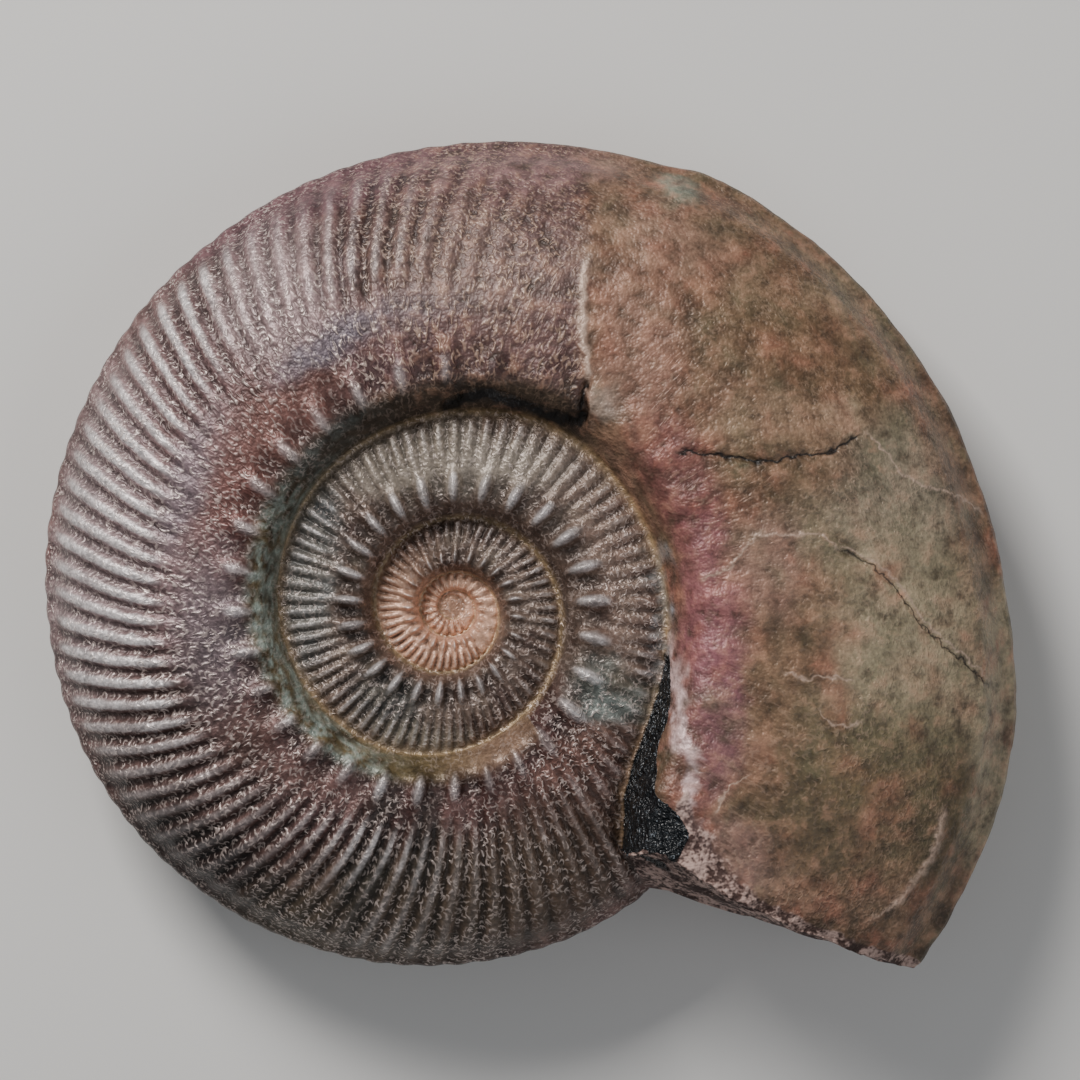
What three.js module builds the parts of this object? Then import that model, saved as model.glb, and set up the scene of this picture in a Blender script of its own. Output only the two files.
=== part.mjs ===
// A large fossil ammonite of the Hammatoceras kind, lying on one flank. Millimetres, +Z up.
//
// The shell is a spiral ribbon on each of its two flanks. A place on it is given by its growth
// angle, counted along the coil in degrees, and by how far across the whorl it lies, from the seam
// with the older whorl (0) to the keel on the outside (1). At a growth angle of 0 the whorl lies
// straight below the pole of the coil, at 90 to its left, so the shell grows clockwise from above.
// The origin is under the middle of the fossil, on the surface that it lies on.
import * as THREE from "three";
import { mergeVertices } from "three/addons/utils/BufferGeometryUtils.js";

// Growth of the coil
const TURN = 360;
const COIL_END = 1045; // where the body chamber breaks off, at its inner edge
const WHORL_COUNT = 5;
const COIL_START = COIL_END - WHORL_COUNT * TURN;
const LAST_WHORL_START = COIL_END - TURN;

// Each line: growth angle, radius of the seam, radius of the outer edge, half of the thickness
const GROWTH = [
  [-755, 2.5, 4.0, 1.4],
  [-395, 2.5, 6.6, 2.1],
  [-180, 3.4, 10.3, 3.4],
  [0, 6.0, 18.6, 5.6],
  [180, 7.1, 26.9, 8.4],
  [270, 9.4, 34.0, 10.0],
  [360, 13.2, 41.4, 11.8],
  [450, 15.7, 49.0, 13.6],
  [540, 18.4, 56.9, 15.2],
  [630, 22.4, 65.8, 17.0],
  [680, 25.8, 71.0, 17.9],
  [720, 29.8, 73.9, 18.6],
  [750, 32.4, 77.0, 19.3],
  [780, 33.9, 80.7, 20.0],
  [840, 36.9, 87.1, 21.6],
  [900, 39.9, 95.8, 23.3],
  [930, 42.5, 101.8, 24.3],
  [960, 43.0, 107.2, 25.4],
  [990, 44.1, 113.0, 26.5],
  [1006, 45.0, 118.1, 27.1],
  [1022, 46.9, 119.5, 27.7],
  [1039, 53.2, 120.4, 28.2],
  [1045, 61.0, 120.6, 28.4],
];
const GROWTH_STEP = { start: 924, end: 930, height: 1.8 }; // old injury, a step in the outer edge

// Section of a whorl
const SHOULDER = 0.15; // where the umbilical wall rounds over into the flank
const FLANK = { bend: 2.3, fall: 0.65 }; // the powers of its curve
const WALL_POWER = 2.5;
const SEAM_DEPTH = 0.97; // the seam lies a little under the flank of the older whorl
const KEEL = { foot: 0.945, halfWidth: 2.4 };
const CENTRE_RISE = 1.2; // height of the innermost button, as a share of the half thickness

// Rows across the exposed flank. The inner whorls show only the rows up to the next seam.
const INNER_ROWS = [0, 0.05, SHOULDER, 0.36];
const OUTER_ROWS = [0.88, KEEL.foot, 0.978, 1];

// Relief of each whorl, from the innermost out. Two columns of faces make one rib.
const WHORLS = [
  { ribs: 10, ribHeight: 0.1, nodes: 10, nodeHeight: 0.1 },
  { ribs: 22, ribHeight: 0.25, nodes: 22, nodeHeight: 0.35 },
  { ribs: 46, ribHeight: 0.35, nodes: 23, nodeHeight: 0.8 },
  { ribs: 70, ribHeight: 0.4, nodes: 25, nodeHeight: 1.7 },
  { ribs: 86, ribHeight: 0.5, nodes: 32, nodeHeight: 1.3 },
];
const NODE_ROW = { middle: 0.16, width: 0.09 };
const RIBS_RISE = { start: 0.2, end: 0.5 }; // across the whorl
const RIB_BEND = 5; // degrees that a rib leans forward on its way out
const RIBS_FADE = { start: 890, end: 925 }; // the body chamber is nearly smooth
const SMOOTH_STEP = 2; // columns of faces that one column takes in on the body chamber
const NODES_ON_CHAMBER = 0.35; // how much of their height the nodes keep there

// Broken end of the body chamber
// The edge slopes back over its inner part and sweeps back further out. The face between the edge
// and the whorl inside it is dented, by turns a little and a lot.
const BREAK = { start: 0.75, slope: 6, sweep: 14, from: 0.2, power: 1.4 };
const BREAK_FACE = { middle: 0.45, dents: [2.5, 0.5] };

// The way it lies: the coil leans a little, so that its lower flank touches the surface in three
// places, and each of them is rubbed flat
const REST = { lean: 2.32, towards: 161, rub: 1.2 };

const NORMAL_STEP = 0.002; // across the whorl, to measure the slope of the flank
const MERGE_DISTANCE = 1e-3;

const radians = THREE.MathUtils.degToRad;
const clamp = THREE.MathUtils.clamp;

function smooth(x, start, end) {
  const t = clamp((x - start) / (end - start), 0, 1);
  return t * t * (3 - 2 * t);
}

// A smooth curve through one column of the growth table, with no overshoot between its lines
function growthCurve(column) {
  const xs = GROWTH.map((line) => line[0]);
  const ys = GROWTH.map((line) => line[column]);
  const slopes = xs.slice(1).map((x, i) => (ys[i + 1] - ys[i]) / (x - xs[i]));
  const tangents = xs.map((x, i) => {
    if (i === 0) return slopes[0];
    if (i === xs.length - 1) return slopes[i - 1];
    const [before, after] = [slopes[i - 1], slopes[i]];
    return before * after <= 0 ? 0 : (2 * before * after) / (before + after);
  });
  return (angle) => {
    const x = clamp(angle, xs[0], xs[xs.length - 1]);
    const i = Math.min(xs.findLastIndex((start) => start <= x), xs.length - 2);
    const width = xs[i + 1] - xs[i];
    const t = (x - xs[i]) / width;
    const [t2, t3] = [t * t, t * t * t];
    return (
      (2 * t3 - 3 * t2 + 1) * ys[i] +
      (t3 - 2 * t2 + t) * width * tangents[i] +
      (3 * t2 - 2 * t3) * ys[i + 1] +
      (t3 - t2) * width * tangents[i + 1]
    );
  };
}

const seamRadius = growthCurve(1);
const smoothOuterRadius = growthCurve(2);
const halfThickness = growthCurve(3);

function outerRadius(angle) {
  const { start, end, height } = GROWTH_STEP;
  return smoothOuterRadius(angle) + height * smooth(angle, start, end);
}

// Height of the flank as a share of the half thickness, falling from the shoulder to the keel
function flankShape(across) {
  const t = clamp((across - SHOULDER) / (1 - SHOULDER), 0, 1);
  return (1 - t ** FLANK.bend) ** FLANK.fall;
}

// How far across the older whorl the seam of the whorl at this growth angle lies
function seamAcross(angle) {
  const older = angle - TURN;
  return (seamRadius(angle) - seamRadius(older)) / (outerRadius(older) - seamRadius(older));
}

function seamHeight(angle) {
  return SEAM_DEPTH * halfThickness(angle - TURN) * flankShape(seamAcross(angle));
}

// The smooth section at one growth angle: distance from the pole, and height over the middle plane
function section(angle, across) {
  const inner = seamRadius(angle);
  const radius = inner + across * (outerRadius(angle) - inner);
  if (across > KEEL.foot) {
    return [radius, KEEL.halfWidth * Math.sqrt((1 - across) / (1 - KEEL.foot))];
  }
  const wall = 1 - (1 - clamp(across / SHOULDER, 0, 1)) ** WALL_POWER;
  const seam = seamHeight(angle);
  return [radius, seam + (halfThickness(angle) * flankShape(across) - seam) * wall];
}

function whorlAt(angle) {
  return clamp(Math.floor((angle - COIL_START) / TURN), 0, WHORL_COUNT - 1);
}

// Height of ribs and nodes over the smooth section, for a column at this share of its whorl
function relief(whorl, share, angle, across) {
  const { ribs, ribHeight, nodes, nodeHeight } = WHORLS[whorl];
  const fade = 1 - smooth(angle, RIBS_FADE.start, RIBS_FADE.end);
  const rise = smooth(across, RIBS_RISE.start, RIBS_RISE.end) * (1 - smooth(across, KEEL.foot, 1));
  const rib = ribHeight * rise * fade * Math.cos(2 * Math.PI * ribs * share);
  const spread = Math.exp(-(((across - NODE_ROW.middle) / NODE_ROW.width) ** 2));
  const kept = NODES_ON_CHAMBER + (1 - NODES_ON_CHAMBER) * fade;
  const node = nodeHeight * spread * kept * Math.cos(2 * Math.PI * nodes * share);
  return rib + node;
}

function place(angle, radius, height) {
  const turn = radians(angle);
  return new THREE.Vector3(-radius * Math.sin(turn), -radius * Math.cos(turn), height);
}

function seamPoint(angle, side) {
  return place(angle, seamRadius(angle), side * seamHeight(angle));
}

// Growth angle of a point: ribs lean forward, and the broken end sweeps back towards the outside
function leaningAngle(whorl, share, across) {
  const start = COIL_START + whorl * TURN;
  if (whorl < WHORL_COUNT - 1) return start + share * TURN;
  const lean = RIB_BEND * across * across * smooth(share, 0, 0.15) * (1 - smooth(share, 0.6, 0.8));
  const slope = BREAK.slope * smooth(across, 0, BREAK.from);
  const sweep = BREAK.sweep * clamp((across - BREAK.from) / (1 - BREAK.from), 0, 1) ** BREAK.power;
  const near = clamp((share - BREAK.start) / (1 - BREAK.start), 0, 1) ** 2;
  return start + share * TURN + lean - (slope + sweep) * near;
}

function flankPoint(whorl, share, across, side) {
  const angle = leaningAngle(whorl, share, across);
  const [radius, height] = section(angle, across);
  if (across === 0) return seamPoint(angle, side);
  if (across === 1) return place(angle, radius, 0);
  const [radiusNear, heightNear] = section(angle, across - NORMAL_STEP);
  const out = new THREE.Vector2(heightNear - height, radius - radiusNear).normalize();
  const shaped = relief(whorlAt(angle), share === 1 ? 0 : share, angle, across);
  return place(angle, radius + out.x * shaped, side * (height + out.y * shaped));
}

// Rows of points on one flank of one whorl, from its seam outwards
function flankRows(whorl, side) {
  const last = whorl === WHORL_COUNT - 1;
  const nextSeam = seamAcross(COIL_END);
  const shares = columnShares(whorl);
  const marks = last ? [...INNER_ROWS, nextSeam, ...OUTER_ROWS] : INNER_ROWS;
  return marks.map((mark, row) =>
    shares.map((share) => {
      const next = COIL_START + (whorl + share + 1) * TURN;
      const across = last ? mark : (mark / nextSeam) * seamAcross(next);
      const meetsEnd = last && share === 0 && row === INNER_ROWS.length;
      return { share, point: meetsEnd ? seamPoint(COIL_END, side) : flankPoint(whorl, share, across, side) };
    }),
  );
}

function columnShares(whorl) {
  const count = 2 * WHORLS[whorl].ribs;
  const shares = [];
  for (let i = 0; i <= count; i += 1) {
    const angle = COIL_START + (whorl + i / count) * TURN;
    if (angle < RIBS_FADE.end || i % SMOOTH_STEP === 0) shares.push(i / count);
  }
  return shares;
}

const triangles = [];

function addTriangle(a, b, c) {
  triangles.push(a, b, c);
}

// Faces between two rows of points, each row with its own number of columns
function joinRows(near, far, side) {
  let i = 0;
  let j = 0;
  while (i < near.length - 1 || j < far.length - 1) {
    const nearNext = near[i + 1]?.share ?? Infinity;
    const farNext = far[j + 1]?.share ?? Infinity;
    const stepFar = farNext <= nearNext;
    const [a, b, c] = [near[i], far[j], stepFar ? far[j + 1] : near[i + 1]];
    if (side > 0) addTriangle(a.point, c.point, b.point);
    else addTriangle(a.point, b.point, c.point);
    if (stepFar) j += 1;
    else i += 1;
  }
}

function addFlank(side) {
  const whorls = WHORLS.map((whorl, index) => flankRows(index, side));
  whorls.forEach((rows, index) => {
    const bounds = index < WHORL_COUNT - 1 ? [...rows, whorls[index + 1][0]] : rows;
    bounds.slice(1).forEach((row, i) => joinRows(bounds[i], row, side));
  });
  const centre = new THREE.Vector3(0, 0, side * halfThickness(COIL_START) * CENTRE_RISE);
  joinRows([{ share: 0, point: centre }], whorls[0][0], side);
  return whorls[WHORL_COUNT - 1];
}

// The broken end: a rough face between the edge of the body chamber and the whorl inside it
function addBreak(upper, lower) {
  const chain = (column, firstRow) => {
    const up = upper.slice(firstRow).map((row) => row.at(column).point);
    const down = lower.slice(firstRow, -1).map((row) => row.at(column).point);
    const points = [...up, ...down.reverse()];
    return points.map((point, i) => ({ share: i / (points.length - 1), point }));
  };
  const edge = chain(-1, 0);
  const inner = chain(0, INNER_ROWS.length);
  const along = (share) => {
    const x = share * (inner.length - 1);
    const i = Math.min(Math.floor(x), inner.length - 2);
    return inner[i].point.clone().lerp(inner[i + 1].point, x - i);
  };
  const middle = edge.map(({ share, point }, i) => {
    if (i === 0 || i === edge.length - 1) return { share, point };
    const dent = place(COIL_END - 90, BREAK_FACE.dents[i % 2], 0);
    return { share, point: point.clone().lerp(along(share), BREAK_FACE.middle).add(dent) };
  });
  joinRows(edge, middle, -1);
  joinRows(middle, inner, -1);
}

function buildGeometry() {
  const upper = addFlank(1);
  const lower = addFlank(-1);
  addBreak(upper, lower);
  const axis = place(REST.towards - 90, 1, 0);
  const points = triangles.map((point) => point.clone().applyAxisAngle(axis, radians(REST.lean)));
  const surface = points.reduce((low, point) => Math.min(low, point.z), Infinity) + REST.rub;
  points.forEach((point) => point.setZ(Math.max(point.z - surface, 0)));
  const soup = new THREE.BufferGeometry().setFromPoints(points);
  const merged = mergeVertices(soup, MERGE_DISTANCE);
  const kept = [];
  const index = merged.index.array;
  for (let i = 0; i < index.length; i += 3) {
    const [a, b, c] = index.slice(i, i + 3);
    if (a !== b && b !== c && a !== c) kept.push(a, b, c);
  }
  merged.setIndex(kept);
  merged.computeBoundingBox();
  const box = merged.boundingBox;
  merged.translate(-(box.min.x + box.max.x) / 2, -(box.min.y + box.max.y) / 2, -box.min.z);
  merged.computeVertexNormals();
  return merged;
}

const fossil = new THREE.MeshStandardMaterial({ color: 0x6f5850, roughness: 0.45, metalness: 0.15 });
const ammonite = new THREE.Mesh(buildGeometry(), fossil);
ammonite.name = "ammonite";

const part = new THREE.Group();
part.add(ammonite);
export default part;
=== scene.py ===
import math

import bpy
from mathutils import Matrix, Vector


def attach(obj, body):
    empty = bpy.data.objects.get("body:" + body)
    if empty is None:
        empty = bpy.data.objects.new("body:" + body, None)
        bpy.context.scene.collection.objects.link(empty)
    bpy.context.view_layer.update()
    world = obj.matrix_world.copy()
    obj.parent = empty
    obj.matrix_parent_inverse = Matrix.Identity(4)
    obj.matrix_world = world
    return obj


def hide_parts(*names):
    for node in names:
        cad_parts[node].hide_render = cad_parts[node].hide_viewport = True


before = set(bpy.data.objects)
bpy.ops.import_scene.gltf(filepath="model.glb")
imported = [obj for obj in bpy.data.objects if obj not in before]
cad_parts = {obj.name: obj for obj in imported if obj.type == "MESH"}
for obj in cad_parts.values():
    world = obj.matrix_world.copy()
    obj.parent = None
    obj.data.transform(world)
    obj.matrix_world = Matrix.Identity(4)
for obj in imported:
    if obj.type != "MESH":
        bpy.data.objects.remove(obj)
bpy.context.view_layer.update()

# The fossil ammonite. Its coil is a spiral ribbon on each flank. A place on the ribbon has a growth
# angle, in degrees along the coil, and a place across the whorl, from its seam (0) to its keel (1).
MM = 0.001
TURN = 360
COIL_END = 1045
WHORL_COUNT = 5
COIL_START = COIL_END - WHORL_COUNT * TURN
LAST_WHORL_START = COIL_END - TURN

# Growth angle, then in mm the radius of the seam, the radius of the keel and half the thickness
GROWTH = (
    (-755, 2.5, 4.0, 1.4),
    (-395, 2.5, 6.6, 2.1),
    (-180, 3.4, 10.3, 3.4),
    (0, 6.0, 18.6, 5.6),
    (180, 7.1, 26.9, 8.4),
    (270, 9.4, 34.0, 10.0),
    (360, 13.2, 41.4, 11.8),
    (450, 15.7, 49.0, 13.6),
    (540, 18.4, 56.9, 15.2),
    (630, 22.4, 65.8, 17.0),
    (680, 25.8, 71.0, 17.9),
    (720, 29.8, 73.9, 18.6),
    (750, 32.4, 77.0, 19.3),
    (780, 33.9, 80.7, 20.0),
    (840, 36.9, 87.1, 21.6),
    (900, 39.9, 95.8, 23.3),
    (930, 42.5, 101.8, 24.3),
    (960, 43.0, 107.2, 25.4),
    (990, 44.1, 113.0, 26.5),
    (1006, 45.0, 118.1, 27.1),
    (1022, 46.9, 119.5, 27.7),
    (1039, 53.2, 120.4, 28.2),
    (1045, 61.0, 120.6, 28.4),
)
GROWTH_CEILING = 130.0
STEP_START, STEP_END, STEP_HEIGHT = 924, 930, 1.8

# Section of a whorl: places across it and powers of its curves, with the keel in mm
SHOULDER = 0.15
FLANK_BEND, FLANK_FALL = 2.3, 0.65
TUCK_START, VENTER = 0.9, 0.985
WALL_POWER = 2.5
SEAM_DROP, SEAM_DROP_REACH = 0.03, 0.3
KEEL_FOOT, KEEL_HALF_WIDTH = 0.945, 2.4
CENTRE_RISE = 1.2

# Ribs and nodes of each whorl, from the innermost out. The heights are shares of the last whorl's.
RIBS = (10, 22, 46, 70, 90)
RIB_SHARES = (0.2, 0.55, 0.85, 0.8, 1.0)
NODES = (10, 22, 23, 25, 32)
NODE_SHARES = (0.1, 0.3, 0.75, 1.4, 1.0)

# Ribs of the last whorl: bend and sweep in degrees, and the growth angles where they leave the inner
# flank, where they are strongest and where they fade
RIB_BEND = 5
RIB_SWEEP = 3
RIBS_LEAVE_START, RIBS_LEAVE_END = 745, 790
RIBS_STRONGEST, STRONG_REACH = 808, 38
RIBS_FADE_START, RIBS_FADE_END = 880, 925

# Places across a whorl: the foot of the ribs, how far it moves out, their rise and the ring of nodes
RIB_FOOT, FOOT_MOVE, RIB_RISE = 0.18, 0.2, 0.26
NODE_RING, NODE_REACH = 0.165, 0.075

# How uneven ribs and nodes are: size of the noise in mm, and shifts in radians
UNREST_SIZE = 11.0
RIB_SHIFT, NODE_SHIFT = 0.8, 0.3

# Where the looks change: half widths of the seam lines and the edge of the wall, across a whorl, and the
# start of the body chamber along the last one
SEAM_LINE, INNER_SEAM_LINE = 0.012, 0.02
WALL_EDGE = (0.17, 0.09)
CHAMBER_START = (0.5, 0.6)

# The broken end leans back from a share of the last whorl on, by degrees over the wall and the flank.
# Its edge is jagged, by degrees, with teeth of a size in mm over its width in mm.
BREAK_START, BREAK_SLOPE, BREAK_SWEEP, BREAK_FROM, BREAK_POWER = 0.75, 6, 11, 0.2, 1.05
BREAK_JAG, JAG_START, JAG_SIZE, BREAK_WIDTH = 0.9, 0.97, 7.0, 60.0

# Broken rock behind that end: its width in mm over the flank, and how much wider it is at the wall
ROCK_WIDTH, WALL_ROCK_WIDTH = 6.0, 15.0

# The black wedge grows in steps: from and to a share of the last whorl, by how much across
BLACK_STEPS = ((0.85, 0.93, 0.055), (0.94, 0.97, 0.04), (0.968, 0.985, 0.15))

# Where the surface's grids meet: a whorl sinks to the seam of the next from this share of its rows on,
# and the last whorl's first columns sink over these reaches, across and along
SEAM_EDGE, SEAM_REACH, FIRST_REACH = 0.88, 0.02, 0.003

# Margins for places that are as good as the same, across or along a whorl and along the coil
ALMOST_NONE, HAIR = 0.001, 0.0001

# How it lies: where the pole of the coil is in the frame, and how the coil leans
POLE = Vector((-16.227, -11.130, 25.041)) * MM
LEAN = math.radians(2.32)
LEAN_TOWARDS = math.radians(161)
LEAN_AXIS = Vector((math.cos(LEAN_TOWARDS), -math.sin(LEAN_TOWARDS), 0))
LAYING = Matrix.Translation(POLE) @ Matrix.Rotation(LEAN, 4, LEAN_AXIS)

# Faces of the visible surface, in rows across a whorl, for the upper and the lower side. Where the coil
# starts, a row is at least this wide in mm.
COLUMNS = 840
ROWS = {1: 120, -1: 40}
INNER_ROWS = {1: 18, -1: 9}
NARROWEST_ROW = 0.03
CENTRE_ROWS = 5
BREAK_ROWS = 16
TRIANGLE_BUDGET = 192000

# Sizes that the shell's node tree takes, with the heights in mm
SHELL_SIZES = {
    "Columns": ("Int", COLUMNS),
    "Rib Height": ("Float", 0.62),
    "Node Height": ("Float", 1.25),
    "Swell Height": ("Float", 0.3),
    "Crumble Height": ("Float", 1.5),
    "Crack Depth": ("Float", 0.7),
    "Weld Distance": ("Float", 0.000002),
    "Pole": ("Vector", POLE),
    "Lean": ("Vector", Vector(LAYING.to_euler())),
    "Seed": ("Float", 7.0),
}

# The innermost whorls turn orange and the centre brown, over stretches of the coil counted in whorls
ORANGE_START, ORANGE_END = 2.3, 2.6
BROWN_START, BROWN_END = 0.4, 0.9

# Sizes in mm of the noises that shape the stone, and of those that colour it
SWELL_SIZE, SMALL_SWELL_SIZE, RIM_SWELL_SIZE, BREAK_ROCK_SIZE, CROOKED_SIZE = 26.0, 7.0, 9.0, 5.0, 3.0
BROAD_SIZE, RAGGED_SIZE, WARMTH_SIZE, MOTTLE_SIZE, STREAK_SIZE, SPECKLE_SIZE = 16.0, 9.0, 6.5, 5.0, 3.0, 2.2
ROCK_SIZE, LINE_JITTER_SIZE, GRAIN_SIZE = 4.2, 2.0, 1.0

# How far in mm the edges of patches and lines wander
RAGGED_REACH, LINE_REACH = 7.0, 2.4

# Cracks and veins fade in over these heights in mm above the middle of the coil
UPPER_SIDE = (0.0, 3.0)

# The worm strokes: how they bend, how far each turns from its neighbours, in radians, and half their
# width in mm. There are two sets, with cells of these sizes in mm. The rim folds outwards between radii.
WORM_BEND, WORM_UNREST, WORM_WIDTH = 0.25, 2.2, 0.24
WORM_CELLS, SET_SHIFT, SET_TURN = (1.55, 1.35), (31.0, 17.0, 5.0), 0.7
GRAIN_LINE_SIZE, GRAIN_LINE_TURN = 5.0, 14.0
FOLD_RADII = (40.0, 90.0)

# Lines in the stone, as points in mm from the pole of the coil, seen from above
LONG_CRACK = ((46, 32), (55, 31), (65, 30), (70, 31), (77, 32), (81, 34), (84, 36))
LONG_VEIN = ((85, 36), (89, 32), (93, 27), (97, 25), (101, 24), (106, 22), (110, 19))
MID_VEIN = ((51, 6), (56, 8), (60, 12), (64, 15), (70, 15), (74, 15), (79, 12))
MID_CRACK = ((79, 12), (85, 9), (90, 5), (93, 1), (96, -3), (101, -8), (105, -11), (110, -16))
BREAK_RIDGE = ((28, 72), (27, 65), (27, 61), (27, 55), (28, 50), (28, 46))
BREAK_CRACK = ((28, 47), (27, 42), (27, 37))
SLIT = ((-2, 41), (7, 43.5), (11, 42.5), (16, 41), (21, 39), (27, 38))
UPPER_VEIN = ((68, -13), (71, -14), (74, -14), (77, -14), (82, -15))
MIDDLE_VEIN = ((75, -21), (79, -24), (84, -23))
LOWER_VEIN = ((61, -34), (56, -37), (55, -39), (54, -42))
RIM_EDGE = ((101, -41), (99, -50), (95, -56), (91, -61), (86, -64))
UPRIGHT_LINES = (BREAK_RIDGE, BREAK_CRACK, LOWER_VEIN, RIM_EDGE)

# The lines that are cut in, stand up, are dark and are pale, with their half width in mm and weight
CUT_LINES = ((LONG_CRACK, 0.55, 1), (MID_CRACK, 0.5, 1), (BREAK_CRACK, 0.9, 2.5), (SLIT, 0.9, 3.5))
RAISED_LINES = ((BREAK_RIDGE, 1, 1), (LONG_VEIN, 0.6, 0.5), (MID_VEIN, 0.6, 0.5), (RIM_EDGE, 0.9, 1))
DARK_LINES = ((LONG_CRACK, 0.4, 1), (MID_CRACK, 0.3, 0.8), (BREAK_CRACK, 0.7, 1), (SLIT, 1, 1.5))
PALE_LINES = (
    (BREAK_RIDGE, 0.7, 0.9),
    (LONG_VEIN, 0.35, 0.5),
    (MID_VEIN, 0.4, 0.5),
    (UPPER_VEIN, 0.3, 0.5),
    (MIDDLE_VEIN, 0.3, 0.5),
    (LOWER_VEIN, 0.3, 0.6),
    (RIM_EDGE, 0.8, 0.5),
)

# The middle crack has a pale edge, this far from it in mm
PALE_EDGE_X, PALE_EDGE_Y, PALE_EDGE_WIDTH = 0.9, 0.6, 0.4


class Wire:
    """A value that runs through a node tree. Arithmetic on wires adds math nodes to the tree."""

    def __init__(self, tree, socket):
        self.tree = tree
        self.socket = socket

    def math(self, operation, *others):
        node = self.tree.nodes.new("ShaderNodeMath")
        node.operation = operation
        for socket, value in zip(node.inputs, (self, *others)):
            feed(self.tree, socket, value)
        return Wire(self.tree, node.outputs[0])

    def __add__(self, other):
        return self.math("ADD", other)

    def __radd__(self, other):
        return self.math("ADD", other)

    def __sub__(self, other):
        return self.math("SUBTRACT", other)

    def __rsub__(self, other):
        return (self * -1.0).math("ADD", other)

    def __mul__(self, other):
        return self.math("MULTIPLY", other)

    def __rmul__(self, other):
        return self.math("MULTIPLY", other)

    def __truediv__(self, other):
        return self.math("DIVIDE", other)

    def __pow__(self, other):
        return self.math("POWER", other)

    def least(self, other):
        return self.math("MINIMUM", other)

    def most(self, other):
        return self.math("MAXIMUM", other)

    def smooth(self, start, end):
        """Rises from 0 to 1 between two values, or falls where the first is the higher one."""
        values = {"Value": self, "From Min": min(start, end), "From Max": max(start, end)}
        values["To Min"], values["To Max"] = (0.0, 1.0) if start < end else (1.0, 0.0)
        node = add(self.tree, "ShaderNodeMapRange", values, interpolation_type="SMOOTHSTEP")
        return Wire(self.tree, node.outputs[0])

    def bell(self, middle, width):
        away = (self - middle) / width
        return (away * away * -1.0).math("EXPONENT")


def feed(tree, socket, value):
    if isinstance(value, Wire):
        tree.links.new(value.socket, socket)
    else:
        socket.default_value = value


def add(tree, kind, values=None, **settings):
    """A new node, with its settings and with its inputs fed by name or by place."""
    node = tree.nodes.new(kind)
    for name, setting in settings.items():
        setattr(node, name, setting)
    for key, value in (values or {}).items():
        feed(tree, node.inputs[key], value)
    return node


def out(node, key=0):
    return Wire(node.id_data, node.outputs[key])


def group(name, kind, inputs, outputs, build):
    """A node group: build gets its inputs as wires and gives the values of its outputs, in order."""
    tree = bpy.data.node_groups.new(name, kind)
    for way, sockets in (("INPUT", inputs), ("OUTPUT", outputs)):
        for label, socket_type in sockets.items():
            tree.interface.new_socket(label, in_out=way, socket_type="NodeSocket" + socket_type)
    entry = tree.nodes.new("NodeGroupInput")
    leave = tree.nodes.new("NodeGroupOutput")
    results = build(tree, *(Wire(tree, entry.outputs[label]) for label in inputs))
    for label, result in zip(outputs, results):
        feed(tree, leave.inputs[label], result)
    return tree


def use(tree, node_tree, values):
    """Places a node group in a tree and gives its outputs."""
    kind = "ShaderNodeGroup" if tree.bl_idname == "ShaderNodeTree" else "GeometryNodeGroup"
    node = tree.nodes.new(kind)
    node.node_tree = node_tree
    for key, value in values.items():
        feed(tree, node.inputs[key], value)
    return [Wire(tree, socket) for socket in node.outputs]


def number(tree, value):
    node = tree.nodes.new("ShaderNodeValue")
    node.outputs[0].default_value = value
    return out(node)


def combine(tree, x, y, z):
    return out(add(tree, "ShaderNodeCombineXYZ", {0: x, 1: y, 2: z}))


def split(vector):
    node = add(vector.tree, "ShaderNodeSeparateXYZ", {0: vector})
    return [Wire(vector.tree, socket) for socket in node.outputs]


def scaled(vector, factor):
    node = add(vector.tree, "ShaderNodeVectorMath", {0: vector}, operation="SCALE")
    feed(vector.tree, node.inputs["Scale"], factor)
    return out(node)


def noise(place, size, detail=2.0, roughness=0.5, seed=None):
    """Noise with spots of about a size, from about -1 to 1."""
    values = {"Vector": place, "Scale": 1 / size, "Detail": detail, "Roughness": roughness}
    if seed is None:
        node = add(place.tree, "ShaderNodeTexNoise", values)
    else:
        node = add(place.tree, "ShaderNodeTexNoise", {**values, "W": seed}, noise_dimensions="4D")
    return (out(node) - 0.5) * 2.6


def smooth_curve(value, spots, floor, ceiling):
    """A smooth curve through spots that rise along their first number."""
    first, last = spots[0][0], spots[-1][0]
    node = add(value.tree, "ShaderNodeFloatCurve")
    node.mapping.use_clip = False
    node.mapping.extend = "HORIZONTAL"
    curve = node.mapping.curves[0]
    while len(curve.points) < len(spots):
        curve.points.new(0.5, 0.5)
    for point, (along, height) in zip(curve.points, spots):
        point.location = ((along - first) / (last - first), (height - floor) / (ceiling - floor))
        point.handle_type = "AUTO_CLAMPED"
    node.mapping.update()
    feed(value.tree, node.inputs["Value"], (value - first) / (last - first))
    return out(node) * (ceiling - floor) + floor


def line_mark(x, y, points, width):
    """A mask along a line in the stone, faded at its ends. The upright lines run along y."""
    upright = points in UPRIGHT_LINES
    along, aside = (y, x) if upright else (x, y)
    spots = sorted((py, px) if upright else (px, py) for px, py in points)
    heights = [height for _, height in spots]
    away = aside - smooth_curve(along, spots, min(heights) - 1.0, max(heights) + 1.0)
    first, last = spots[0][0], spots[-1][0]
    fade = along.smooth(first - 1.0, first + 1.5) * along.smooth(last + 1.0, last - 1.5)
    return away.bell(0.0, width) * fade


def line_marks(x, y, lines):
    return sum(line_mark(x, y, points, width) * weight for points, width, weight in lines)


def growth_column(angle, column):
    spots = [(line[0], line[column]) for line in GROWTH]
    return smooth_curve(angle, spots, 0.0, GROWTH_CEILING)


def build_growth(tree, angle):
    step = angle.smooth(STEP_START, STEP_END) * STEP_HEIGHT
    return growth_column(angle, 1), growth_column(angle, 2) + step, growth_column(angle, 3)


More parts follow.
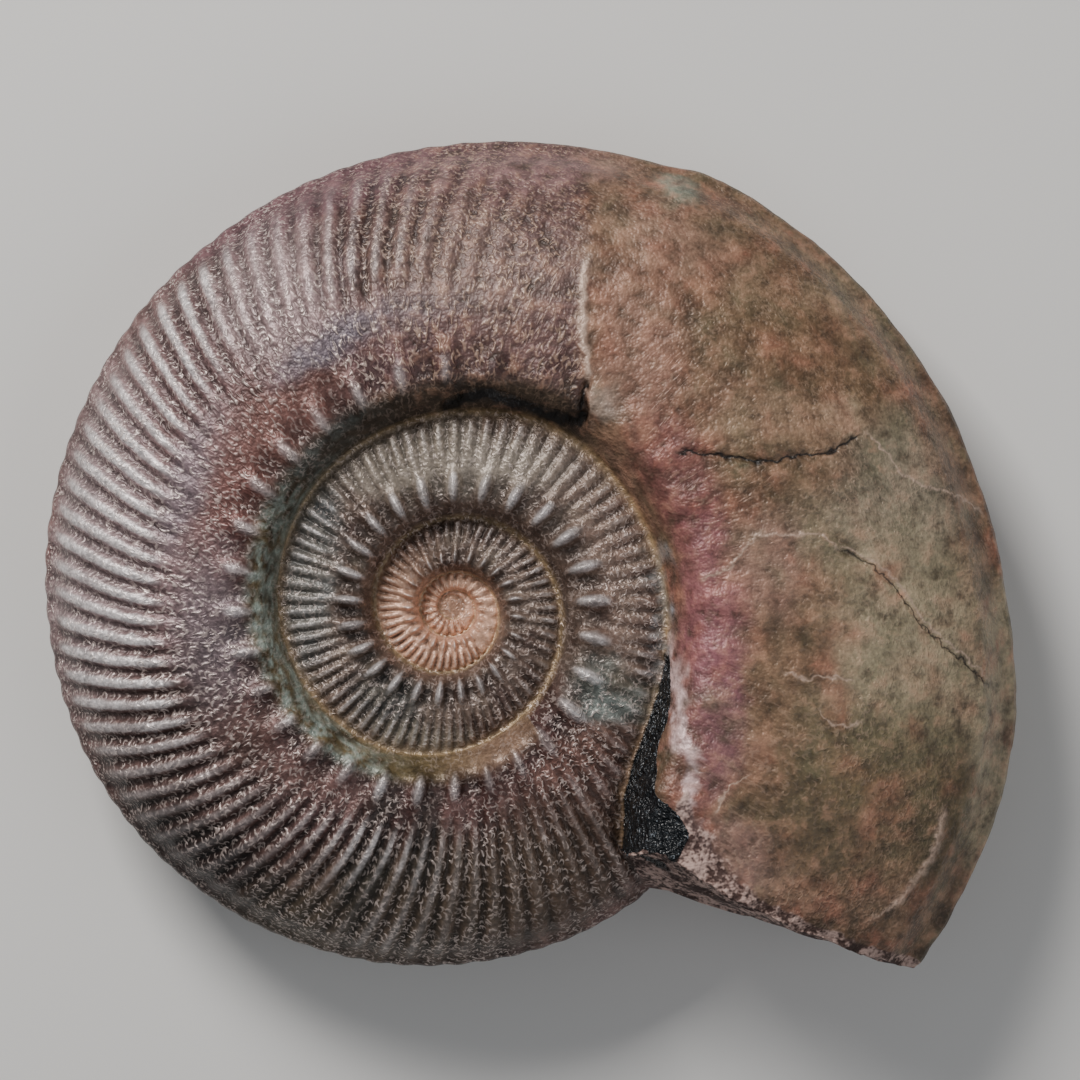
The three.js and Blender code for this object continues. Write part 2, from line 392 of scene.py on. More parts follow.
def flank_shape(across):
    """Height of the flank as a share of half the thickness, from the shoulder to the venter."""
    reach = ((across - SHOULDER) / (1 - SHOULDER)).most(0.0).least(1.0)
    return (1.0 - reach**FLANK_BEND).most(0.0) ** FLANK_FALL


def build_seam(tree, angle):
    seam = use(tree, GROWTH_LAW, {"Angle": angle})[0]
    old_seam, old_outer, old_thick = use(tree, GROWTH_LAW, {"Angle": angle - TURN})
    across = (seam - old_seam) / (old_outer - old_seam)
    drop = 1.0 - across.smooth(0.0, SEAM_DROP_REACH) * SEAM_DROP
    return across, old_thick * flank_shape(across) * drop


def build_section(tree, angle, across):
    seam, outer, thick = use(tree, GROWTH_LAW, {"Angle": angle})
    low = use(tree, SEAM_LAW, {"Angle": angle})[1]
    radius = seam + across * (outer - seam)
    wall = 1.0 - (1.0 - (across / SHOULDER).least(1.0)) ** WALL_POWER
    flank = thick * flank_shape(across)
    side = low + (flank - low) * wall
    keel = ((1.0 - across).most(0.0) / (1 - KEEL_FOOT)).math("SQRT") * KEEL_HALF_WIDTH
    tuck = across.smooth(TUCK_START, VENTER)
    return radius, side * (1.0 - tuck) + side.least(keel) * tuck


GROWTH_LAW = group(
    "growth law",
    "GeometryNodeTree",
    {"Angle": "Float"},
    {"Seam": "Float", "Outer": "Float", "Half Thickness": "Float"},
    build_growth,
)
SEAM_LAW = group(
    "seam on the older whorl",
    "GeometryNodeTree",
    {"Angle": "Float"},
    {"Across Older": "Float", "Height": "Float"},
    build_seam,
)
SECTION = group(
    "whorl section",
    "GeometryNodeTree",
    {"Angle": "Float", "Across": "Float"},
    {"Radius": "Float", "Height": "Float"},
    build_section,
)


def polar(tree, angle, radius, height):
    """A point in metres, at a growth angle, with its radius and height in mm."""
    turn = angle.math("RADIANS")
    x = turn.math("SINE") * radius * -MM
    y = turn.math("COSINE") * radius * -MM
    return combine(tree, x, y, height * MM)


def by_whorl(whorl, values):
    """The value of one whorl, out of a list of one value for each."""
    node = whorl.tree.nodes.new("GeometryNodeIndexSwitch")
    node.data_type = "FLOAT"
    while len(node.index_switch_items) < len(values):
        node.index_switch_items.new()
    feed(whorl.tree, node.inputs["Index"], whorl)
    for place, value in enumerate(values):
        node.inputs[place + 1].default_value = value
    return out(node)


def build_relief(tree, coil, across, rib_height, node_height, seed):
    """Height of ribs and nodes in mm, at a coil position counted in whorls."""
    whorl = (coil + HAIR).math("FLOOR").least(float(WHORL_COUNT - 1)).most(0.0)
    share = coil - whorl
    angle = coil * TURN + COIL_START
    last = whorl.smooth(WHORL_COUNT - 2.0, WHORL_COUNT - 1.0)
    place = scaled(polar(tree, angle, across * 30.0 + 20.0, angle * 0.02), 1 / MM)
    unrest = noise(place, UNREST_SIZE, seed=seed)
    turns = 2 * math.pi

    # Ribs: over the whole flank at first, then only on its outer part, then hardly any
    outer_only = last * angle.smooth(RIBS_LEAVE_START, RIBS_LEAVE_END)
    start = RIB_FOOT + outer_only * FOOT_MOVE
    rise = ((across - start) / RIB_RISE).smooth(0.0, 1.0)
    rise = rise * (across.smooth(1.0, KEEL_FOOT - 0.06) * 0.75 + 0.25)
    fade = angle.smooth(RIBS_FADE_END, RIBS_FADE_START)
    kept = fade + (1.0 - fade) * across.smooth(0.6, 0.9) * (unrest * 0.16).most(0.04)
    strong = 0.75 + last * angle.bell(RIBS_STRONGEST, STRONG_REACH) * 0.5 + unrest * 0.45
    swept = share - last * across * across * RIB_SWEEP / TURN
    phase = swept * by_whorl(whorl, RIBS) * turns + unrest * RIB_SHIFT
    wave = 1.0 - (0.5 - phase.math("COSINE") * 0.5) ** 1.4 * 2.0
    rib = wave * rise * kept * strong * by_whorl(whorl, RIB_SHARES)

    # Nodes: a ring of knobs on the shoulder, with hollows between them
    phase = share * by_whorl(whorl, NODES) * turns + unrest * NODE_SHIFT
    peak = (0.5 + phase.math("COSINE") * 0.5) ** 1.8 * 1.7 - 0.55
    ring = across.bell(NODE_RING, NODE_REACH)
    kept = fade + (1.0 - fade) * 0.3
    node = peak * ring * kept * by_whorl(whorl, NODE_SHARES) * (1.0 + unrest * 0.4)
    return rib * rib_height + node * node_height, rib + node


RELIEF = group(
    "ribs and nodes",
    "GeometryNodeTree",
    {"Coil": "Float", "Across": "Float", "Rib Height": "Float", "Node Height": "Float", "Seed": "Float"},
    {"Height": "Float", "Crest": "Float"},
    build_relief,
)

# What each point of the surface keeps: for the rest of the tree, and for its finish as well
BUILDING_MARKS = ("relief", "crest", "seam_line", "wall", "coil", "across")
FINISH_MARKS = ("chamber", "broken", "wedge")


def grid(tree, columns, rows):
    """A flat grid, with its two places from 0 to 1 as wires."""
    values = {"Size X": 1.0, "Size Y": 1.0, "Vertices X": columns + 1, "Vertices Y": rows + 1}
    node = add(tree, "GeometryNodeMeshGrid", values)
    x, y = split(out(tree.nodes.new("GeometryNodeInputPosition")))[:2]
    return out(node), x + 0.5, y + 0.5


def shape_grid(tree, mesh, position, marks, side):
    """Moves a grid's points to their places, keeps values on them and turns its faces outwards."""
    for name in BUILDING_MARKS + FINISH_MARKS:
        values = {"Geometry": mesh, "Name": name, "Value": marks.get(name, 0.0)}
        node = add(tree, "GeometryNodeStoreNamedAttribute", values, data_type="FLOAT")
        mesh = out(node)
    mesh = out(add(tree, "GeometryNodeSetPosition", {"Geometry": mesh, "Position": position}))
    if side < 0:
        mesh = out(add(tree, "GeometryNodeFlipFaces", {"Mesh": mesh}))
    return mesh


def relief_of(tree, coil, across, sizes):
    values = {"Coil": coil, "Across": across}
    values.update({label: sizes[label] for label in ("Rib Height", "Node Height", "Seed")})
    return use(tree, RELIEF, values)


def end_lean(share, across):
    """Degrees by which a column of the last whorl leans: ribs forward, the jagged broken end back."""
    lean = across * across * RIB_BEND * share.smooth(0.0, 0.15) * share.smooth(0.8, 0.6)
    sweep = ((across - BREAK_FROM) / (1 - BREAK_FROM)).most(0.0) ** BREAK_POWER * BREAK_SWEEP
    slope = across.smooth(0.0, BREAK_FROM) * BREAK_SLOPE
    near = ((share - BREAK_START) / (1 - BREAK_START)).most(0.0) ** 2.0
    jag = noise(combine(across.tree, across * BREAK_WIDTH, 0.0, 0.0), JAG_SIZE, 4.0, 0.7)
    return lean - (slope + sweep) * near + jag * share.smooth(JAG_START, 1.0) * BREAK_JAG


def end_of_older(tree, across):
    """Where the coil's end meets the start of the last whorl, and which places are inside of it."""
    end_across, end_height = use(tree, SEAM_LAW, {"Angle": float(COIL_END)})
    return end_across, end_height, across.math("LESS_THAN", end_across + ALMOST_NONE)


def last_whorl(tree, side, sizes):
    mesh, share, across = grid(tree, sizes["Columns"], ROWS[side])
    end_across, end_height, inside = end_of_older(tree, across)

    # The first column takes the rows of the older whorl that it continues
    first = share.math("LESS_THAN", ALMOST_NONE)
    rows = INNER_ROWS[side]
    snapped = (across / end_across * rows + 0.5).math("FLOOR") / rows * end_across
    across = across + (snapped - across) * first * inside
    angle = share * TURN + LAST_WHORL_START + end_lean(share, across)
    radius, height = use(tree, SECTION, {"Angle": angle, "Across": across})
    drop = (across / end_across).smooth(SEAM_EDGE, 1.0) * inside * (height - end_height)
    drop = drop + across.bell(end_across, SEAM_REACH) * (1.0 - inside) * height * SEAM_DROP
    height = height - drop * share.bell(0.0, FIRST_REACH)
    coil = share + float(WHORL_COUNT - 1)
    relief, crest = relief_of(tree, coil, across, sizes)
    to_end = (1.0 - share) * radius * math.radians(TURN)
    broken_width = across.smooth(0.5, SHOULDER) * WALL_ROCK_WIDTH + ROCK_WIDTH
    marks = {"relief": relief, "crest": crest, "seam_line": across.bell(0.0, SEAM_LINE)}
    marks["wall"] = across.smooth(*WALL_EDGE)
    marks["coil"] = coil
    marks["across"] = across
    marks["chamber"] = share.smooth(*CHAMBER_START)
    marks["broken"] = (to_end / broken_width).smooth(1.2, 0.0) * across.smooth(0.14, 0.18)
    black_reach = sum(share.smooth(start, end) * reach for start, end, reach in BLACK_STEPS)
    marks["wedge"] = (black_reach - across).smooth(0.002, 0.02)
    return shape_grid(tree, mesh, polar(tree, angle, radius, height * side), marks, side)


def inner_whorls(tree, side, sizes):
    rows = INNER_ROWS[side]
    mesh, share, row = grid(tree, sizes["Columns"] * (WHORL_COUNT - 1), rows)
    coil = share * (WHORL_COUNT - 1)
    angle = coil * TURN + COIL_START
    next_across, next_height = use(tree, SEAM_LAW, {"Angle": angle + TURN})

    # Where the coil starts it is narrow, and has fewer rows
    seam, next_seam = (use(tree, GROWTH_LAW, {"Angle": place})[0] for place in (angle, angle + TURN))
    kept_rows = ((next_seam - seam) / NARROWEST_ROW).math("FLOOR").least(float(rows)).most(1.0)
    row = (row * kept_rows + 0.5).math("FLOOR") / kept_rows
    across = row * next_across
    radius, height = use(tree, SECTION, {"Angle": angle, "Across": across})
    edge = row.smooth(SEAM_EDGE, 1.0)
    height = height * (1.0 - edge) + next_height * edge
    relief, crest = relief_of(tree, coil, across, sizes)
    marks = {"relief": relief * (1.0 - edge), "crest": crest * (1.0 - edge)}
    marks["seam_line"] = across.bell(0.0, INNER_SEAM_LINE) + edge
    marks["coil"] = coil
    marks["across"] = across
    return shape_grid(tree, mesh, polar(tree, angle, radius, height * side), marks, side)


def centre(tree, side, sizes):
    mesh, share, row = grid(tree, sizes["Columns"], CENTRE_ROWS)
    angle = share * TURN + COIL_START
    seam = use(tree, GROWTH_LAW, {"Angle": angle})[0]
    low = use(tree, SEAM_LAW, {"Angle": angle})[1]
    top = GROWTH[0][3] * CENTRE_RISE
    height = low + (1.0 - row * row) * (top - low)
    return shape_grid(tree, mesh, polar(tree, angle, seam * row, height * side), {}, side)


def broken_end(tree, side, sizes):
    """The face between the end of the body chamber and the whorl inside it."""
    mesh, depth, across = grid(tree, BREAK_ROWS, ROWS[side])
    end_angle = COIL_END + end_lean(number(tree, 1.0), across)
    end = use(tree, SECTION, {"Angle": end_angle, "Across": across})
    edge = polar(tree, end_angle, end[0], end[1] * side)
    end_across, _, inside = end_of_older(tree, across)
    old_across = across + (end_across - across) * inside
    old_angle = number(tree, float(LAST_WHORL_START))
    old = use(tree, SECTION, {"Angle": old_angle, "Across": old_across})
    dropped = old[1] * (1.0 - old_across.bell(end_across, SEAM_REACH) * SEAM_DROP)
    inner = polar(tree, old_angle, old[0], dropped * side)
    mix = add(tree, "ShaderNodeMix", {0: depth, 4: edge, 5: inner}, data_type="VECTOR")
    marks = {"broken": 1.0, "across": across, "coil": float(WHORL_COUNT)}
    marks["wedge"] = depth.smooth(0.3, 0.8) * across.smooth(0.7, 0.3)
    return shape_grid(tree, mesh, out(mix, 1), marks, side)


def kept_mark(tree, name):
    return out(add(tree, "GeometryNodeInputNamedAttribute", {"Name": name}, data_type="FLOAT"))


def build_stone_relief(tree, swell_height, crumble_height, crack_depth, seed):
    """Height in mm that the stone's swells, breaks, cracks and veins add to the shell."""
    place = scaled(out(tree.nodes.new("GeometryNodeInputPosition")), 1 / MM)
    x, y, z = split(place)
    top = z.smooth(*UPPER_SIDE)
    crooked_x = x + noise(place, CROOKED_SIZE, seed=seed + 1.0) * 0.5
    crooked_y = y + noise(place, CROOKED_SIZE, seed=seed + 2.0) * 0.5
    swell = noise(place, SWELL_SIZE, seed=seed) + noise(place, SMALL_SWELL_SIZE, 1.0, seed=seed) * 0.35
    chamber_edge = kept_mark(tree, "chamber") * kept_mark(tree, "across").smooth(0.85, 0.97)
    rim_swell = chamber_edge * noise(place, RIM_SWELL_SIZE, 3.0, seed=seed + 3.0) * 0.6
    swell = swell * swell_height + rim_swell
    rock = noise(place, BREAK_ROCK_SIZE, 4.0, 0.62, seed=seed + 4.0) - 0.35
    rocky = kept_mark(tree, "broken").most(kept_mark(tree, "wedge"))
    cracks = line_marks(crooked_x, crooked_y, CUT_LINES)
    veins = line_marks(crooked_x, crooked_y, RAISED_LINES)
    lines = (veins * 0.6 - cracks) * top * crack_depth
    return (swell + rock * rocky * crumble_height + lines,)


STONE_RELIEF = group(
    "relief of the stone",
    "GeometryNodeTree",
    {"Swell Height": "Float", "Crumble Height": "Float", "Crack Depth": "Float", "Seed": "Float"},
    {"Height": "Float"},
    build_stone_relief,
)


def paint(red, green, blue):
    """A colour from its usual values of 0 to 255."""
    return tuple(((value / 255 + 0.055) / 1.055) ** 2.4 for value in (red, green, blue)) + (1.0,)


PAINTS = {
    "dark ground": paint(70, 42, 38),
    "light ground": paint(118, 88, 84),
    "lilac ground": paint(104, 78, 84),
    "dark chamber": paint(76, 58, 40),
    "light chamber": paint(126, 98, 76),
    "red chamber": paint(128, 92, 78),
    "rust": paint(164, 106, 86),
    "olive": paint(92, 90, 66),
    "inner grey": paint(118, 108, 94),
    "inner orange": paint(236, 188, 160),
    "centre brown": paint(128, 92, 70),
    "dark wall": paint(70, 62, 38),
    "light wall": paint(124, 110, 74),
    "wall glints": paint(172, 190, 180),
    "pink wall": paint(164, 132, 112),
    "shadowed wall": paint(34, 26, 22),
    # The next colour is a painted glint for the crests of ribs and nodes
    "painted crest glints": paint(214, 208, 208),
    "seam": paint(158, 132, 92),
    "light spots": paint(180, 136, 112),
    "dark spots": paint(66, 52, 38),
    # The two stroke colours are painted highlights on the crests of the worm strokes
    "strokes": paint(226, 208, 200),
    "chamber stroke highlights": paint(196, 164, 142),
    "crack": paint(18, 13, 11),
    "vein": paint(196, 168, 150),
    "dark rock": paint(58, 38, 34),
    "light rock": paint(190, 162, 152),
    "crystal": paint(14, 18, 22),
    "crystal glint": paint(176, 186, 196),
}


def blend(tree, share, first, second):
    """Goes from one colour to another as a share rises from 0 to 1."""
    node = add(tree, "ShaderNodeMix", {0: share, 6: first, 7: second}, data_type="RGBA")
    return out(node, 2)


def tinted(tree, colour, *tints):
    """Blends paints into a colour one after the other, each by its share."""
    for share, name in tints:
        colour = blend(tree, share, colour, PAINTS[name])
    return colour


def between(tree, share, first, second):
    return blend(tree, share, PAINTS[first], PAINTS[second])


def shade(tree, colour, factor):
    """Multiplies a colour by a number."""
    grey = combine(tree, factor, factor, factor)
    node = add(tree, "ShaderNodeVectorMath", {0: colour, 1: grey}, operation="MULTIPLY")
    return out(node)


# Borders in mm from the pole: the chamber's colours start between two places to the right of it, and
# above the higher border that start is more ragged
CHAMBER_EDGE = (24.0, 30.0)
HIGH = (62.0, 76.0)

# Patches of colour in the stone, a few of them painted shadow, shade, highlight or rim light: place and
# half sizes in mm from the pole, seen from above, the turn of the patch in degrees, its colour and its
# strength
PATCHES = {
    "lilac left flank": (-62, 22, 17, 45, -8, (154, 124, 124), 0.7),
    # The next patch is a painted highlight on the ribs of the left flank, where the light catches them
    "painted glint on left ribs": (-72, 12, 12, 36, -6, (178, 158, 160), 0.55),
    "pink left rim": (-90, 6, 6, 46, -4, (150, 106, 102), 0.65),
    # The next patch is painted rim light, pinkish purple, along the upper left edge
    "painted purple rim light upper left": (-33, 84, 40, 7, 22, (116, 80, 88), 0.7),
    "pale upper left": (-36, 64, 16, 13, 35, (182, 158, 158), 0.65),
    "red brown by the umbilicus": (-37, 33, 10, 18, -38, (124, 84, 76), 0.6),
    "red brown left": (-46, 12, 8, 18, -10, (112, 70, 64), 0.6),
    "blue grey on the left": (-55, 24, 4, 16, -20, (118, 112, 122), 0.5),
    "blue grey streak": (-25, 54, 13, 3.5, 32, (112, 106, 118), 0.65),
    "blue grey top": (-7, 61, 14, 4, 8, (122, 110, 116), 0.5),
    "grey low left": (-49, -5, 9, 18, 5, (128, 118, 124), 0.6),
    "brown lower left": (-52, -36, 34, 20, -42, (92, 70, 64), 0.6),
    # The next patch is painted shadow on the low rim at the lower left
    "painted shadow on low rim": (-46, -58, 33, 10, -38, (30, 10, 4), 0.95),
    # The next patch is painted shade along the bottom rim
    "painted shade on bottom rim": (-6, -73, 26, 5, 4, (52, 36, 32), 0.75),
    "olive bottom": (-4, -60, 40, 14, 8, (92, 82, 66), 0.7),
    "black radial band": (-17, -52, 5, 19, -14, (44, 46, 42), 0.6),
    "second black band": (-5, -48, 3, 12, -4, (46, 46, 42), 0.6),
    "brown bottom right": (23, -50, 20, 14, 30, (94, 76, 62), 0.6),
    "pale worms on top": (4, 70, 24, 12, -4, (138, 114, 106), 0.6),
    # The next patch is painted rim light, pinkish, along the top edge
    "painted pink rim light on top": (14, 91, 22, 5, 0, (140, 106, 106), 0.6),
    "turquoise by the rim": (45.5, 86, 5, 3, -30, (116, 134, 120), 0.6),
    "tan behind the break": (38, 54, 9, 18, 4, (146, 108, 92), 0.8),
    "tan upper chamber": (49, 73, 22, 7, -28, (150, 116, 98), 0.7),
    "brown upper chamber": (72, 57, 24, 13, -38, (116, 90, 66), 0.6),
    "grey brown upper rim": (86, 60, 7, 20, 40, (132, 114, 92), 0.6),
    "tan middle": (68, 38, 18, 6, -4, (148, 120, 96), 0.7),
    "pale crumbs": (80, 40, 5, 3.5, 20, (180, 160, 132), 0.6),
    "red shoulder": (47, 26, 8, 15, 30, (118, 70, 70), 0.75),
    "rose shoulder": (53, 0, 7, 20, 4, (146, 88, 96), 0.75),
    "rose lower shoulder": (53, -22, 7, 20, -4, (138, 90, 98), 0.75),
    "pink middle": (64, 8, 9, 12, 0, (158, 124, 110), 0.6),
    "grey green middle": (78, 16, 10, 9, -20, (138, 128, 104), 0.6),
    "grey olive right": (93, 24, 14, 16, 10, (146, 136, 116), 0.75),
    "olive outer": (94, -8, 17, 24, 8, (166, 154, 126), 0.75),
    "olive lower": (88, -38, 22, 20, 0, (98, 88, 60), 0.7),
    "green lower": (76, -27, 12, 8, 10, (112, 102, 76), 0.5),
    "dark lower middle": (74, -46, 22, 9, -10, (90, 74, 54), 0.7),
    "pink lower corner": (56, -51, 12, 8, -30, (140, 108, 98), 0.8),
    "grey olive rim": (113, -20, 5, 46, -6, (156, 146, 120), 0.7),
    "rust outer": (103, 30, 5, 12, 24, (132, 98, 78), 0.5),
    "blue grey inner left": (-29, 8, 5, 24, -6, (118, 126, 130), 0.85),
    "red inner right": (33, 9, 8, 24, 6, (158, 124, 112), 0.6),
    "red inner low": (26, -30, 12, 6, 35, (128, 92, 80), 0.6),
    "dark inner low": (-13, -20, 9, 7, -30, (40, 54, 64), 0.9),
    "white inner low": (-7, -27, 9, 3, -10, (186, 178, 162), 0.6),
    "grey inner top": (-2, 30, 26, 7, 0, (196, 184, 170), 0.75),
    "red brown lip": (47.5, -30, 4.5, 24, 4, (128, 84, 76), 0.7),
    "pink lip": (47.5, -28, 1.6, 25, 6, (232, 202, 200), 0.9),
    "white crumbs by the break": (31, 42, 3, 4.5, 0, (186, 168, 156), 0.45),
    "blue white seam": (43.2, -2, 1.4, 16, 2, (166, 172, 180), 0.85),
    "green black inner": (33, -17, 9, 6.5, -12, (128, 142, 140), 0.95),
    "black inner edge": (38, -14.5, 5, 2.5, -25, (20, 24, 24), 0.9),
}


def build_patch(tree, colour, x, y, x_at, y_at, half_width, half_height, turn, tint, strength):
    """Tints a colour in the middle of an ellipse, and less towards its edge."""
    turn = turn.math("RADIANS")
    cosine, sine = turn.math("COSINE"), turn.math("SINE")
    right, up = x - x_at, y - y_at
    along = (right * cosine + up * sine) / half_width
    aside = (up * cosine - right * sine) / half_height
    mask = (along * along + aside * aside).math("SQRT").smooth(1.35, 0.5) * strength
    return (blend(tree, mask, colour, tint),)


PATCH_INPUTS = {"Colour": "Color", "X": "Float", "Y": "Float", "Middle X": "Float", "Middle Y": "Float"}
PATCH_INPUTS.update({"Half Width": "Float", "Half Height": "Float", "Turn": "Float", "Tint": "Color"})
PATCH_INPUTS["Strength"] = "Float"
PATCH = group("colour patch", "GeometryNodeTree", PATCH_INPUTS, {"Colour": "Color"}, build_patch)


def build_stone_colour(tree, seed):
    """The colour of the stone with painted glints and shade, without its finest detail, and how strong the
    worm strokes are.
    """
    place = scaled(out(tree.nodes.new("GeometryNodeInputPosition")), 1 / MM)
    x, y, z = split(place)
    names = ("crest", "seam_line", "wall", "coil", "wedge")
    crest, seam_line, wall, coil, wedge = (kept_mark(tree, name) for name in names)
    inner = coil.smooth(WHORL_COUNT - 1.0, WHORL_COUNT - 1.1)
    broad = noise(place, BROAD_SIZE, 3.0, seed=seed + 10.0)
    mottle = noise(place, MOTTLE_SIZE, 5.0, 0.65, seed=seed + 11.0)
    speckle = noise(place, SPECKLE_SIZE, 3.0, 0.7, seed=seed + 12.0)
    high = y.smooth(*HIGH)
    chamber_start = x + mottle * (1.5 + high * 7.0) + broad * high * 8.0
    chamber = kept_mark(tree, "chamber") * chamber_start.smooth(*CHAMBER_EDGE)
    radius = (x * x + y * y).math("SQRT")
    bearing = x.math("ARCTAN2", y) * 60.0 + radius * 0.25
    streak_place = combine(tree, bearing, radius * 0.16, z)
    streaks = noise(streak_place, STREAK_SIZE, 3.0, 0.6, seed=seed + 15.0) * chamber

    # Ground
    light = mottle.smooth(-0.35, 0.35)
    ground = between(tree, light, "dark ground", "light ground")
    ground = tinted(tree, ground, (broad.smooth(-0.2, 0.8) * 0.5, "lilac ground"))
    chamber_ground = between(tree, light, "dark chamber", "light chamber")
    chamber_ground = tinted(tree, chamber_ground, (broad.smooth(0.0, 0.8) * 0.6, "red chamber"))
    colour = blend(tree, chamber, ground, chamber_ground)

    # Patches, with ragged edges
    ragged_x = x + noise(place, RAGGED_SIZE, 5.0, 0.7, seed=seed + 13.0) * RAGGED_REACH + mottle * 2.5
    ragged_y = y + noise(place, RAGGED_SIZE, 5.0, 0.7, seed=seed + 14.0) * RAGGED_REACH + speckle * 2.0
    for x_at, y_at, half_width, half_height, turn, tint, strength in PATCHES.values():
        shape = (x_at, y_at, half_width, half_height, turn, paint(*tint), strength)
        values = (colour, ragged_x, ragged_y, *shape)
        colour = use(tree, PATCH, dict(zip(PATCH_INPUTS, values)))[0]
    warmth = noise(place, WARMTH_SIZE, 4.0, 0.68, seed=seed + 16.0) * chamber
    colour = tinted(
        tree,
        colour,
        (inner * (0.5 + mottle * 0.6).most(0.0), "inner grey"),
        (warmth.smooth(0.0, 0.5) * 0.6, "rust"),
        (warmth.smooth(0.0, -0.5) * 0.6, "olive"),
        (coil.smooth(ORANGE_END, ORANGE_START) * 0.85, "inner orange"),
        (coil.smooth(BROWN_END, BROWN_START) * 0.5, "centre brown"),
    )

    # Wall of the umbilicus with painted shadow at its top, painted glints on the crests, painted shade in
    # the hollows, and seams
    wall_colour = tinted(
        tree,
        between(tree, light, "dark wall", "light wall"),
        (speckle.smooth(-0.2, 0.25) * x.smooth(-6.0, -24.0) * 0.9, "wall glints"),
        (x.smooth(-8.0, 12.0) * y.smooth(-14.0, -28.0) * 0.8, "pink wall"),
        (y.smooth(16.0, 32.0) * 0.8, "shadowed wall"),
    )
    colour = blend(tree, wall * (1.0 - chamber) * (1.0 - inner) * 0.85, colour, wall_colour)
    # Painted glints: crests of ribs and nodes are tinted silver-white, most on the left flank, where the
    # light catches them, and on the inner whorls
    painted_glint_side = x.smooth(-35.0, -60.0) * y.smooth(-38.0, -8.0)
    painted_glint_side = (painted_glint_side + x.bell(-15.0, 12.0) * y.smooth(-30.0, -44.0) * 0.6) * (1.0 - inner)
    pale = y.smooth(-66.0, -36.0) * 0.24 + 0.04 + inner * 0.35 + painted_glint_side * 0.75
    painted_crest_glint = crest.smooth(0.4, 1.05) * pale * (1.0 + speckle * 0.7 + mottle * 0.6)
    colour = tinted(tree, colour, (painted_crest_glint.least(0.95).most(0.0), "painted crest glints"))
    # Painted shade: the hollows between ribs and nodes are darkened
    colour = shade(tree, colour, 1.0 - crest.smooth(0.25, -0.75) * 0.6)
    seam = seam_line.smooth(0.4, 0.9) * (1.0 - wedge) * (mottle * 0.3 + 0.6)
    colour = tinted(tree, colour, (seam.most(0.0), "seam"))
    lively = (mottle * 0.22 + speckle * 0.2) * (1.3 + chamber * 0.7)
    colour = shade(tree, colour, (1.0 + chamber * 0.14 + lively + streaks * 0.3).most(0.3))
    worms = (broad * 1.2 + 0.75 + speckle * 0.5) * (1.0 - chamber * 0.65)
    worms = worms * (1.0 - wall * 0.6) * (1.0 - inner * 0.35)
    return colour, worms.most(0.1).least(1.0)


STONE_COLOUR = group(
    "colour of the stone",
    "GeometryNodeTree",
    {"Seed": "Float"},
    {"Colour": "Color", "Worms": "Float"},
    build_stone_colour,
)


def build_shell(tree, stone, sizes):
    makers = (last_whorl, inner_whorls, centre, broken_end)
    joined = tree.nodes.new("GeometryNodeJoinGeometry")
    for side in (1, -1):
        for maker in makers:
            tree.links.new(maker(tree, side, sizes).socket, joined.inputs[0])
    values = {0: out(joined), "Distance": sizes["Weld Distance"]}
    welded = out(add(tree, "GeometryNodeMergeByDistance", values))
    normal = out(tree.nodes.new("GeometryNodeInputNormal"))
    labels = ("Swell Height", "Crumble Height", "Crack Depth", "Seed")
    stone_height = use(tree, STONE_RELIEF, {label: sizes[label] for label in labels})[0]
    height = kept_mark(tree, "relief") + stone_height
    offset = scaled(normal, height * MM)
    colour, worms = use(tree, STONE_COLOUR, {"Seed": sizes["Seed"]})
    values = {"Geometry": welded, "Name": "ground", "Value": colour}
    coloured = out(add(tree, "GeometryNodeStoreNamedAttribute", values, data_type="FLOAT_COLOR"))
    values = {"Geometry": coloured, "Name": "worms", "Value": worms}
    marked = out(add(tree, "GeometryNodeStoreNamedAttribute", values, data_type="FLOAT"))
    raised = add(tree, "GeometryNodeSetPosition", {"Geometry": marked, "Offset": offset})
    for name in BUILDING_MARKS:
        raised = add(tree, "GeometryNodeRemoveAttribute", {"Geometry": out(raised), "Name": name})
    laid = add(tree, "GeometryNodeTransform", {"Geometry": out(raised)})
    feed(tree, laid.inputs["Translation"], sizes["Pole"])
    feed(tree, laid.inputs["Rotation"], sizes["Lean"])
    x, y, z = split(out(tree.nodes.new("GeometryNodeInputPosition")))
    flat = combine(tree, x, y, z.most(0.0))
    rested = add(tree, "GeometryNodeSetPosition", {"Geometry": out(laid), "Position": flat})
    shaded = add(tree, "GeometryNodeSetShadeSmooth", {0: out(rested)})
    real = add(tree, "GeometryNodeRealizeInstances", {"Geometry": out(shaded)})
    dressed = add(tree, "GeometryNodeSetMaterial", {"Geometry": out(real)})
    dressed.inputs["Material"].default_value = stone
    return (out(dressed),)


